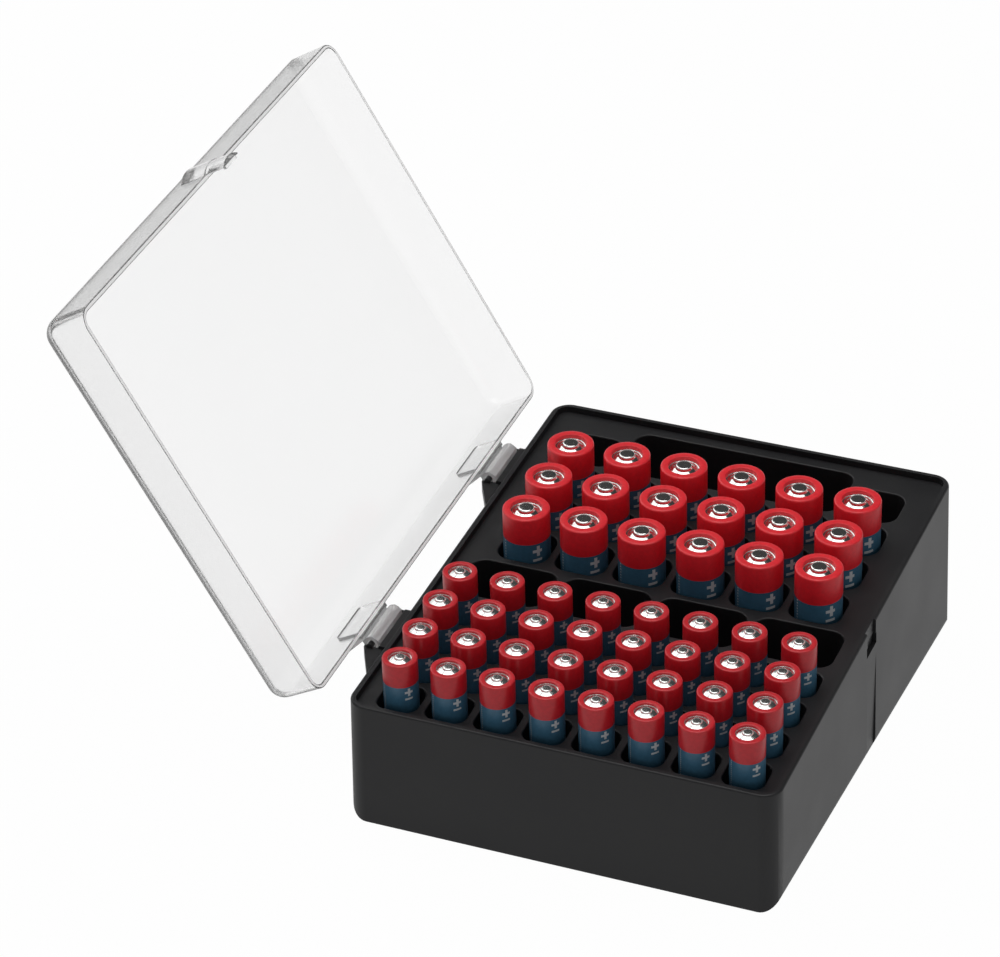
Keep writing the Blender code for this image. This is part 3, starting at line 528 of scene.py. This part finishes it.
# AA cells
# A steel can in a shrunk sleeve of printed metallised film, red at the positive end and dark
# teal below. The sleeve's edge is rolled over the shoulder, round the plated cap.
def film(name, code, roughness, marked=False):
    """Printed metallised film: an even gloss print with a little flake; silver marks if marked."""
    material, tree, shader = new_material(name)
    coords = add_node(tree, "ShaderNodeTexCoord")
    flake = add_node(tree, "ShaderNodeTexNoise", [("Vector", coords, "Object")], Scale=900.0,
                     Detail=2.0)
    tone = add_node(tree, "ShaderNodeValToRGB", [(0, flake, "Fac")])
    deep = [c * 0.86 for c in linear(code)[:3]]
    tone.color_ramp.elements[0].position = 0.3
    tone.color_ramp.elements[0].color = (*deep, 1)
    tone.color_ramp.elements[1].position = 0.7
    tone.color_ramp.elements[1].color = linear(code)
    bump = add_node(tree, "ShaderNodeBump", [("Height", flake, "Fac")], Strength=0.06, Distance=0.0001)
    tree.links.new(tone.outputs[0], shader.inputs["Base Color"])
    tree.links.new(bump.outputs[0], shader.inputs["Normal"])
    shader.inputs["Roughness"].default_value = roughness
    shader.inputs["IOR"].default_value = 1.5
    if marked:
        # A plus sign over a bar, and a line of dashes round to the left; both axes are in turns.
        # Each mark is a middle and a half width, across and then along.
        spread = add_node(tree, "ShaderNodeUVMap")
        axes = add_node(tree, "ShaderNodeSeparateXYZ", [(0, spread, 0)])
        beat = add_node(tree, "ShaderNodeMath", [(0, axes, "Y")], operation="MULTIPLY")
        beat.inputs[1].default_value = 45.0
        dashes = add_node(tree, "ShaderNodeMath", [(0, beat, 0)], operation="FRACT")
        ink = None
        for across, high in (((0.889, 0.040), (-0.057, 0.0115)), ((0.889, 0.0115), (-0.057, 0.040)),
                             ((0.889, 0.040), (-0.127, 0.010)), ((0.634, 0.006), None)):
            part = add_node(tree, "ShaderNodeMath", [(0, axes, "X")], operation="COMPARE")
            part.inputs[1].default_value, part.inputs[2].default_value = across
            level = add_node(tree, "ShaderNodeMath", [(0, axes, "Y") if high else (0, dashes, 0)],
                             operation="COMPARE")
            level.inputs[1].default_value, level.inputs[2].default_value = high or (0.5, 0.22)
            both = add_node(tree, "ShaderNodeMath", [(0, part, 0), (1, level, 0)],
                            operation="MINIMUM")
            ink = both if not ink else add_node(tree, "ShaderNodeMath", [(0, ink, 0), (1, both, 0)],
                                                operation="MAXIMUM")
        printed = add_node(tree, "ShaderNodeMixRGB", [("Fac", ink, 0), ("Color1", tone, 0)])
        printed.inputs["Color2"].default_value = linear("#C6CACD")
        tree.links.new(printed.outputs[0], shader.inputs["Base Color"])
    return material


red_film = film("red_metallised_film", "#E4202C", 0.38)
# A darker copy of the same red print for the AAA cells: painted shade for their sides.
shaded_red_film = film("shaded_red_metallised_film", "#C81C27", 0.34)
teal_film = film("teal_metallised_film", "#3D6A85", 0.38, marked=True)


def nickel_plate(name, smooth, dull):
    """Nickel-plated steel: a bright grey metal, drawn and tumbled, hardly coloured."""
    material, tree, shader = new_material(name)
    coords = add_node(tree, "ShaderNodeTexCoord")
    scuff = add_node(tree, "ShaderNodeTexNoise", [("Vector", coords, "Object")], Scale=1500.0,
                     Detail=3.0)
    rough = add_node(tree, "ShaderNodeMapRange", [("Value", scuff, "Fac")])
    rough.inputs["To Min"].default_value = smooth
    rough.inputs["To Max"].default_value = dull
    tree.links.new(rough.outputs[0], shader.inputs["Roughness"])
    shader.inputs["Base Color"].default_value = linear("#E6E6E4")
    shader.inputs["Metallic"].default_value = 1.0
    return material


bright_nickel = nickel_plate("nickel_plated_steel", 0.12, 0.2)
satin_nickel = nickel_plate("satin_nickel_plated_steel", 0.16, 0.24)


def turned_cell(profile, band, zones, steps):
    """Spins half a section to a cell. The print changes at the band's height; zones are (outer
    radius, lowest height, highest height, material slot) for the bare metal at its ends."""
    bm = bmesh.new()
    verts = [bm.verts.new((x, 0, z)) for x, z in profile]
    edges = [bm.edges.new(pair) for pair in zip(verts, verts[1:])]
    bmesh.ops.spin(bm, geom=verts + edges, cent=(0, 0, 0), axis=(0, 0, 1), dvec=(0, 0, 0),
                   angle=2 * math.pi, steps=steps, use_merge=True, use_duplicate=False)
    bmesh.ops.remove_doubles(bm, verts=bm.verts, dist=0.001)
    bmesh.ops.recalc_face_normals(bm, faces=bm.faces)
    spread = bm.loops.layers.uv.new("turns")
    around = 2 * math.pi * max(x for x, z in profile)
    for face in bm.faces:
        middle = face.calc_center_median()
        turn = math.atan2(middle.y, middle.x)
        for loop in face.loops:
            side = Matrix.Rotation(-turn, 3, "Z") @ loop.vert.co
            angle = turn + math.atan2(side.y, side.x)
            turns = angle / (2 * math.pi)
            loop[spread].uv = (turns % 1 if abs(turn) > 0.5 else turns,
                               (loop.vert.co.z - band) / around)
        face.smooth = True
        face.material_index = 0 if middle.z > band else 1
        for radius, low, high, slot in zones:
            if math.hypot(middle.x, middle.y) < radius and low < middle.z < high:
                face.material_index = slot
    return bm


def place_cell(name, node, bm, spot, materials):
    """Puts one cell in its well, as a piece that rides on its own body."""
    mesh = bpy.data.meshes.new(name)
    bm.to_mesh(mesh)
    mesh.transform(tray_mm @ Matrix.Translation(spot))
    mesh.set_sharp_from_angle(angle=math.radians(40))
    for material in materials:
        mesh.materials.append(material)
    piece = bpy.data.objects.new(name, mesh)
    bpy.context.scene.collection.objects.link(piece)
    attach(piece, node)
    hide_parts(node)


# The outline runs from the middle of the base round to the middle of the cap
METAL = 2
FLOOR_GAP = 0.3
AA_BAND = 41.2
aa_profile = [(0, 0.15), (4.3, 0.15), (4.6, 0.05), (5.0, 0.0), (5.6, 0.0), (6.6, 0.02), (7.0, 0.2),
              (7.2, 0.6), (7.2, AA_BAND), (7.2, 49.65), (7.13, 49.95), (6.95, 50.13), (6.7, 50.2),
              (5.0, 50.2), (4.88, 50.16), (4.82, 50.0), (4.8, 48.9), (4.74, 48.72), (4.55, 48.62),
              (4.2, 48.6), (4.0, 48.61), (3.85, 48.65), (3.5, 48.83), (3.1, 49.05), (2.8, 49.2),
              (2.6, 49.29), (2.51, 49.4), (2.47, 50.05), (2.41, 50.3), (2.27, 50.44), (2.05, 50.5),
              (1.2, 50.5), (0, 50.5)]
aa_cell = turned_cell(aa_profile, AA_BAND, ((4.79, 48, 52, METAL), (5.3, -1, 0.5, METAL)), 48)
for row in range(3):
    for column in range(6):
        spot = Vector((WELL_SHIFT + (column - 2.5) * AA_PITCH[0],
                       AA_FRONT + row * AA_PITCH[1] - 0.4, FLOOR_GAP - AA_WELL[3]))
        place_cell(f"aa_battery_{row + 1}_{column + 1}", f"aa_cell_row{row + 1}_{column + 1}",
                   aa_cell, spot, (red_film, teal_film, bright_nickel))


# AAA cells
# The same build, smaller: the plated cap is a shallow dish with a small nub in its middle.
AAA_BAND = 36.8
aaa_profile = [(0, 0.15), (2.7, 0.15), (2.9, 0.05), (3.2, 0.0), (4.4, 0.02), (4.95, 0.18), (5.15, 0.5),
               (5.15, AAA_BAND), (5.15, 43.8), (5.08, 44.05), (4.93, 44.17), (4.7, 44.2),
               (3.62, 44.2), (3.52, 44.16), (3.47, 44.05), (3.45, 43.55), (3.4, 43.44),
               (3.25, 43.4), (3.1, 43.42), (2.75, 43.56), (2.3, 43.72), (1.9, 43.82),
               (1.65, 43.87), (1.55, 43.96), (1.5, 44.2), (1.44, 44.37), (1.3, 44.46),
               (1.1, 44.49), (0.6, 44.5), (0, 44.5)]
aaa_cell = turned_cell(aaa_profile, AAA_BAND, ((3.43, 43, 46, METAL), (3.05, -1, 0.5, METAL)), 40)
for row in range(4):
    for column in range(8):
        spot = Vector((WELL_SHIFT + (column - 3.5) * AAA_PITCH[0] + 0.4,
                       AAA_FRONT + row * AAA_PITCH[1] - 0.85, FLOOR_GAP - AAA_WELL[3]))
        place_cell(f"aaa_battery_{row + 1}_{column + 1}", f"aaa_cell_row{row + 1}_{column + 1}",
                   aaa_cell, spot, (shaded_red_film, teal_film, satin_nickel))
